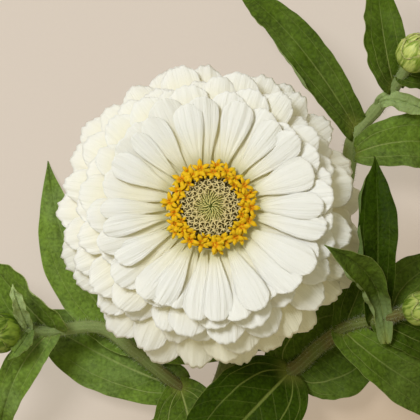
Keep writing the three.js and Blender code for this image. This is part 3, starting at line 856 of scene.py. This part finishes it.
def stem_hairs(name, count, start, end):
    """Short hairs that stand out from one stretch of a stem."""
    shape = Shape()
    for k in range(count):
        share = mix(start, end, chance(k, 50))
        centre, along, across, above, radius = stem_section(name, share)
        turn = math.tau * chance(k, 51)
        out = across * math.cos(turn) + above * math.sin(turn)
        root = centre + out * radius * 0.96
        if root.z < 0.4:
            continue
        grow = out + along * (0.9 * chance(k, 52) - 0.25) + across * 0.4 * sway(k, 53)
        tip = root + grow.normalized() * (0.75 + 0.85 * chance(k, 54))
        tip.z = max(tip.z, 0.15)
        shape.spike(root, tip, 0.045)
    return shape


# Leaves

def leaf_breadth(place, belly, pinch):
    """Share of the full width: base narrowed by pinch, broad middle, drawn-out tip."""
    reached = place ** belly
    swell = max(math.sin(math.pi * (0.17 + 0.82 * reached)), 0.0)
    return (1 - pinch * math.exp(-place / (0.07 * pinch))) * swell ** (0.75 + 0.45 * reached)


# Path, width, fold in degrees and how light the blade is; then what sets a leaf apart, which
# leaf_form and leaf explain
LEAVES = {
    "upper_leaf_long": (
        [(46.4, 88.4, 15.8), (25.5, 118, 45), (6.5, 139.5, -0.4)], 13.8, 14, 0.41,
        {"clear": 0.6, "curl": (130, 0, 0.17, 0.62), "hinge": 0.78, "pinch": 0.2}),
    "upper_leaf_right": (
        [(44.3, 81, 12.5), (63, 87.6, 33), (84, 82.5, -0.4)], 17.5, 10, 0.76,
        {"belly": 1.4, "ear": 0, "clear": 0.6, "pinch": 0.85}),
    "upper_leaf_top": (
        [(57.4, 101.1, 26.2), (52, 113, 45), (52.5, 142, 20)], 13.5, 16, 0.37,
        {"curl": (80, 0, 0.25, 0.8), "hinge": 0.85}),
    "upper_leaf_folded": (
        [(53.2, 95.9, 20.8), (54, 99.2, 32), (75, 91, 20)], 6.5, 26, 1.0,
        {"belly": 1.4, "ear": 0, "clear": 0.3, "pale": 0.6}),
    "upper_leaf_small": ([(59, 104.4, 29.8), (64, 103, 33), (74, 103.5, 22)], 9, 14, 0.26, {}),
    "left_leaf_tall": (
        [(7.5, 22, 4), (-35, 16, 14.5), (-47.5, 43.5, 14), (-52.5, 81, -0.4)], 19.5, 12, 1.0,
        {"belly": 1.5, "clear": 0.55}),
    "left_leaf_under": (
        [(-9.8, 7.8, 6.2), (-32, 14.6, 9.6), (-60, 33, 4)], 23, 6, 0.86, {"belly": 1.4, "clear": 0.7}),
    "left_leaf_down": (
        [(-9.8, 7.8, 9), (-2.8, -10.5, 21), (-6.5, -40, -0.4)], 24, 8, 0.48, {"ear": 3, "pinch": 0.8}),
    "left_leaf_upper": (
        [(-49, 24.8, 22), (-56, 29.5, 32), (-73, 51.5, 14)], 18.5, 14, 0.76,
        {"roll": -42, "clear": 0.7, "curl": (0, 60, 0.2, 0.9), "hinge": 0.85}),
    "left_leaf_lower": (
        [(-49, 24.8, 22), (-64, 12, 35), (-68, -16, -0.4)], 11.5, 14, 0.98, {"belly": 0.9, "clear": 0.6}),
    "left_leaf_curled": (
        [(-56.1, 25, 26.5), (-59.2, 32.6, 40.7), (-60.2, 37.8, 40)], 5, 30, 1.0,
        {"pale": 0.9, "clear": 0.6}),
    "left_leaf_small": (
        [(-56.1, 24.4, 26.5), (-57, 19.2, 37.2), (-62.3, 15.2, 31)], 5.5, 20, 0.82,
        {"pale": 0.1, "clear": 0.5, "curl": (0, 80, 0.1, 0.9), "hinge": 0.7}),
    "right_leaf_big": (
        [(25.4, 12.8, 10.6), (7, -6, 29), (-12, -27, 12)], 31, 10, 0.09, {"ear": 0.6, "pinch": 0.6}),
    "right_leaf_under": ([(25.4, 12.8, 8.4), (28.5, 18, 12), (66.5, 31, 4)], 33, 5, 0.39, {"belly": 1.3}),
    "right_leaf_inner": ([(41.4, 25.3, 19.5), (45.5, 35, 25), (54, 57, 12)], 12, 8, 0.26, {"clear": 0.8}),
    "right_leaf_outer": (
        [(41.4, 25.3, 19.5), (50.5, 12.8, 40), (87, -3.7, -0.4)], 16.5, 12, 0.49,
        {"belly": 1.7, "clear": 0.6}),
    "right_leaf_front": (
        [(54, 20.2, 30.4), (52.4, 40.5, 31.5), (48.3, 41.4, 49), (34, 47.9, 57)], 9.5, 26, 0.42,
        {"belly": 1.6, "roll": -14, "ear": 0, "clear": 0.5, "heel": 0.3, "curl": (150, 0, 0.1, 0.85),
         "hinge": 0.6, "wide": 1.35}),
    "right_leaf_tall": (
        [(51, 27.6, 27.4), (51.5, 52, 46), (50.4, 77.3, 38)], 13, 24, 0.07,
        {"belly": 1.3, "clear": 0.5, "curl": (150, 0, 0.1, 0.8), "hinge": 0.62, "wide": 1.35}),
    "right_leaf_back_upper": (
        [(56, 28.8, 30.4), (56, 41, 28), (79, 50, 16)], 14, 14, 0.40,
        {"belly": 1.15, "roll": -20, "ear": 0, "clear": 0.8}),
    "right_leaf_back_lower": ([(51.4, 27.7, 27.8), (64, 20, 32.5), (82, 15.5, 12)], 11, 14, 0.23, {}),
    "main_leaf_hidden": ([(7.5, 24, 4), (28, 25, 13), (42, 52, 1)], 14, 10, 0.3, {}),
    "main_leaf_left": ([(0.6, 2, 3), (-16, -8, 6), (-38, -22, -0.4)], 13, 10, 0.45, {}),
    "main_leaf_right": ([(0.6, 2, 3), (16, -6, 9), (40, -24, -0.4)], 13, 10, 0.3, {}),
}
# Share of a half blade over which a rolled margin bends
CURL_BEND = 0.14


def rolled(share, fold, curl, hinge):
    """Reach, height and angle of half a blade that is folded up, its margin turned over at the hinge."""
    flat = share if curl < 0.01 else min(share, hinge)
    reach, rise, angle = flat * math.cos(fold), flat * math.sin(fold), fold
    if share > flat:
        bent = min(share - hinge, CURL_BEND)
        rate = curl / CURL_BEND
        angle = fold + rate * bent
        rest = share - hinge - bent
        reach += (math.sin(angle) - math.sin(fold)) / rate + rest * math.cos(angle)
        rise += (math.cos(fold) - math.cos(angle)) / rate + rest * math.sin(angle)
    return reach, rise, angle


def leaf_form(path, width, fold, seed, roll=0, ear=None, belly=1, curl=(0, 0, 0, 1), hinge=0.8, wide=1,
              pinch=0.42):
    """A folded, quilted blade with grooves along its strong nerves.

    roll tips the blade over its midrib, in degrees. ear is how far the margin reaches back at the
    base, pinch narrows the base, and belly moves the broad part to the tip. curl turns the left and
    right margin over, in degrees, from one place to another. hinge is the share of the half blade
    where that starts near the base, and wide makes up the width that it takes."""
    path = vectors(path)
    length = sum((b - a).length for a, b in zip(path, path[1:]))
    fold, roll = math.radians(fold), math.radians(roll)
    ear = width * 0.1 if ear is None else ear

    def form(place, side, upper):
        side = crowded(side)
        share, way = abs(side), (1 if side > 0 else -1)
        point, along = bezier(path, place)
        across = UP.cross(along).normalized()
        across.rotate(Quaternion(along, roll))
        face = along.cross(across)
        within = smooth(place, curl[2], curl[2] + 0.15) * smooth(place, curl[3] + 0.15, curl[3])
        turned = math.radians(curl[0] if side > 0 else curl[1]) * within
        half = width / 2 * leaf_breadth(place, belly, pinch)
        half *= 1 + 0.06 * share * noise.noise(Vector((place * length / 6, way * 3.0, seed * 5.1)))
        if turned:
            half *= mix(1, wide, within)
        back = Vector((-along.x, -along.y, 0)).normalized() * ear * math.exp(-place / 0.1)
        start = 0.6 if side > 0 else 2.9
        edge = share * share
        reach, rise, angle = rolled(share, fold, turned, mix(hinge, 0.92, place))
        fade = math.sin(math.pi * place)
        lift = MARGIN_WAVES[0] * edge * math.sin(4 * math.pi * place + start) * fade
        lift += MARGIN_WAVES[1] * edge * math.sin(11 * math.pi * place + start + seed) * fade
        nerve = VEIN_SHARE * (1 - math.exp(-VEIN_RATE * place))
        lift -= MIDRIB_GROOVE * bump(share, 0.09) + NERVE_GROOVE * bump(share - nerve, 0.09) * (1 - place)
        puff = noise.noise(Vector((place * 5, side * 1.6, seed * 7.3)))
        quilt = noise.noise(Vector((place * length / 3.6, side * half / 2.6, seed * 3.7)))
        quilting = QUILTING[0] * puff + QUILTING[1] * quilt
        lift += quilting * smooth(place, 0.02, 0.2) * smooth(place, 1.0, 0.8)
        skin = LEAF_THICKNESS * (0.5 - 0.22 * edge)
        if upper:
            lift += skin
        else:
            lift -= skin + 0.45 * bump(share * half, 0.6) * (1 - place)
        normal = face * math.cos(angle) - across * (way * math.sin(angle))
        point = point + back * edge + across * (way * reach * half) + face * (rise * half) + normal * lift
        point.z = max(point.z, 0.35 if upper else 0.0)
        return point

    return form


def leaf(name, seed):
    """One leaf. clear is how plain its nerves are, pale how far its face takes the underside's
    colour, and up to heel its face takes on much of the underside's colour."""
    path, width, fold, tone, ways = LEAVES[name]
    ways = dict(ways)
    clear, pale, heel = ways.pop("clear", 1.0), ways.pop("pale", 0.0), ways.pop("heel", -1.0)
    shape = Shape()
    shape.sheet(LEAF_GRID, leaf_form(path, width, fold, seed, **ways), tone,
                lambda place: clear * mix(1, 0.45, smooth(place, 0.12, 0.6)),
                lambda place: (1 - pale) * mix(0.35, 1, smooth(place, heel - 0.08, heel + 0.08)))
    return shape


# Buds and involucre

# Share of the full radius, from the base to the top
BUD_PROFILE = [(0, 0.35), (0.06, 0.6), (0.12, 0.78), (0.2, 0.91), (0.3, 0.98), (0.4, 1.0), (0.5, 1.0),
               (0.6, 0.95), (0.7, 0.86), (0.8, 0.71), (0.88, 0.55), (0.95, 0.34), (1, 0.14)]
CUP_PROFILE = [(0, 0.36), (0.12, 0.51), (0.25, 0.63), (0.42, 0.77), (0.6, 0.88), (0.8, 0.94), (1, 0.97)]


def bract_cup(base, axis, length, radius, profile, rows, bracts, reach_on, light):
    """An egg or cup under rows of overlapping bracts, the lower rows outside. light is how pale
    the bracts are, at the base and at the top."""
    shape = Shape()
    along = axis.normalized()
    across = Vector((0, 1, 0)) if abs(along.x) > 0.9 else Vector((1, 0, 0))
    across = (across - along * across.dot(along)).normalized()
    above = along.cross(across)

    def on_body(height, turn, proud):
        reach = radius * reading(min(max(height, 0), 1), profile) + proud
        return base + along * (height * length) + across * (reach * math.cos(turn)) + above * (
            reach * math.sin(turn))

    shape.tube(BUD_GRID, lambda place, turn: on_body(place, turn, -0.25), lambda place: (0.5, 0.2))
    for row in range(rows):
        low = row / (rows + 0.6)
        high = min(low + reach_on / rows, 1.0)
        layer = 0.35 * (rows - 1 - row) / rows
        for k in range(bracts):
            seed = 11 * row + k
            middle = math.tau * (k + 0.5 * (row % 2) + 0.12 * sway(seed, 60)) / bracts
            spread = math.pi / bracts * (1.45 + 0.15 * chance(seed, 61))
            open_by = 0.1 + 0.25 * chance(seed, 62)

            def bract(place, side, upper):
                side = crowded(side)
                height = mix(low, high, place * (1 - 0.3 * side * side * smooth(place, 0.3, 1)))
                narrow = math.sqrt(max(1 - smooth(place, 0.45, 1.15) ** 1.2, 0.04))
                proud = layer + 0.25 * place * (1 - 0.25 * side * side) + open_by * place ** 4
                proud += 0.38 * bump(side, 0.4) * math.sin(math.pi * place)
                proud += 0.10 * math.cos(9 * side + seed) * smooth(place, 0.4, 1)
                proud += 0.14 if upper else -0.12
                return on_body(height, middle + spread * side * narrow, proud - 0.25)

            shape.sheet(BRACT_GRID, bract, chance(seed, 63),
                        lambda place: mix(*light, mix(low, high, place)) + 0.3 * sway(seed, 64))
    return shape


# Length, radius, and how light the bracts are from base to top
BUDS = {"left": (13.5, 5.9, (0.04, 0.26)), "right": (11.5, 4.8, (0.28, 0.70)),
        "upper": (13, 5.5, (0.5, 1.0))}


def bud(name):
    """A closed bud at the end of its stem."""
    length, radius, light = BUDS[name]
    tip, axis = along_route(vectors(ROUTES[name][0]), 1.0)
    return bract_cup(tip + axis * 0.1, axis, length, radius * 0.97, BUD_PROFILE,
                     rows=3, bracts=4, reach_on=2.2, light=light)


def involucre():
    """The cup of green bracts between the main stem and the petals."""
    return bract_cup(Vector((0, BLOOM_Y, 32.7)), UP, 7.6, 9.2, CUP_PROFILE,
                     rows=3, bracts=12, reach_on=1.7, light=(0.2, 0.5))


# The flower

PETAL, FLORET, SCALE = petal_finish(), floret_finish(), scale_finish()
LEAF, STEM, HAIR, BUD = leaf_finish(), stem_finish(), hair_finish(), bud_finish()

ray_petals().piece("petals", PETAL, "petal", "ray_petals")
disc_florets().piece("florets", FLORET, "floret", "disc_florets")
disc_scales().piece("scales", SCALE, "scale", "disc_scales")
for number, leaf_name in enumerate(LEAVES):
    leaf(leaf_name, number).piece("blade_" + leaf_name, LEAF, "leaf", leaf_name)
stem("main").piece("main_stalk", STEM, "stem", "main_stem")
for side_name in ("left", "right", "upper"):
    stem(side_name).piece(side_name + "_stalk", STEM, "stem", side_name + "_shoot_stem")
    bud(side_name).piece(side_name + "_closed_bud", BUD, "bud", side_name + "_bud")
involucre().piece("bract_cup", BUD, "bud", "involucre")
for stem_name, stretch in HAIRS.items():
    stem_hairs(stem_name, *stretch).piece(stem_name + "_hairs", HAIR, "stem")


# Floor, light and camera

def paper_floor():
    """The surface, just below the flower so that the two faces don't meet."""
    bm = bmesh.new()
    bmesh.ops.create_grid(bm, x_segments=2, y_segments=2, size=FLOOR_REACH)
    bmesh.ops.translate(bm, vec=(0, 0, -FLOOR_GAP), verts=bm.verts)
    mesh = bpy.data.meshes.new("paper")
    bm.to_mesh(mesh)
    bm.free()
    mesh.materials.append(floor_finish().material)
    placed("paper", mesh)


def soft_light(name, place, size, watts, tint):
    """A round lamp that faces the bloom."""
    light = bpy.data.lights.new(name, "AREA")
    light.shape, light.size, light.energy, light.color = "DISK", size, watts, tint
    lamp = placed(name, light)
    lamp.location = place
    aim = Vector(LIGHT_AIM) - Vector(place)
    lamp.rotation_euler = aim.to_track_quat("-Z", "Y").to_euler()


def studio():
    """Both lamps and the room's even light."""
    for name, lamp in LIGHTS.items():
        soft_light(name, *lamp)
    world = bpy.data.worlds.new("room")
    world.use_nodes = True
    back = world.node_tree.nodes["Background"]
    back.inputs["Color"].default_value = ROOM_TINT
    back.inputs["Strength"].default_value = ROOM_STRENGTH
    bpy.context.scene.world = world
    bpy.context.scene.view_settings.view_transform = "Standard"


def camera():
    """A long lens over the flower, tipped a little, as in the photo."""
    data = bpy.data.cameras.new("camera")
    data.lens, data.sensor_width, data.clip_start = 200, 36, 0.01
    eye = placed("camera", data)
    eye.location = CAMERA_PLACE
    eye.rotation_euler = (CAMERA_TILT, 0, 0)
    bpy.context.scene.camera = eye


paper_floor()
studio()
camera()
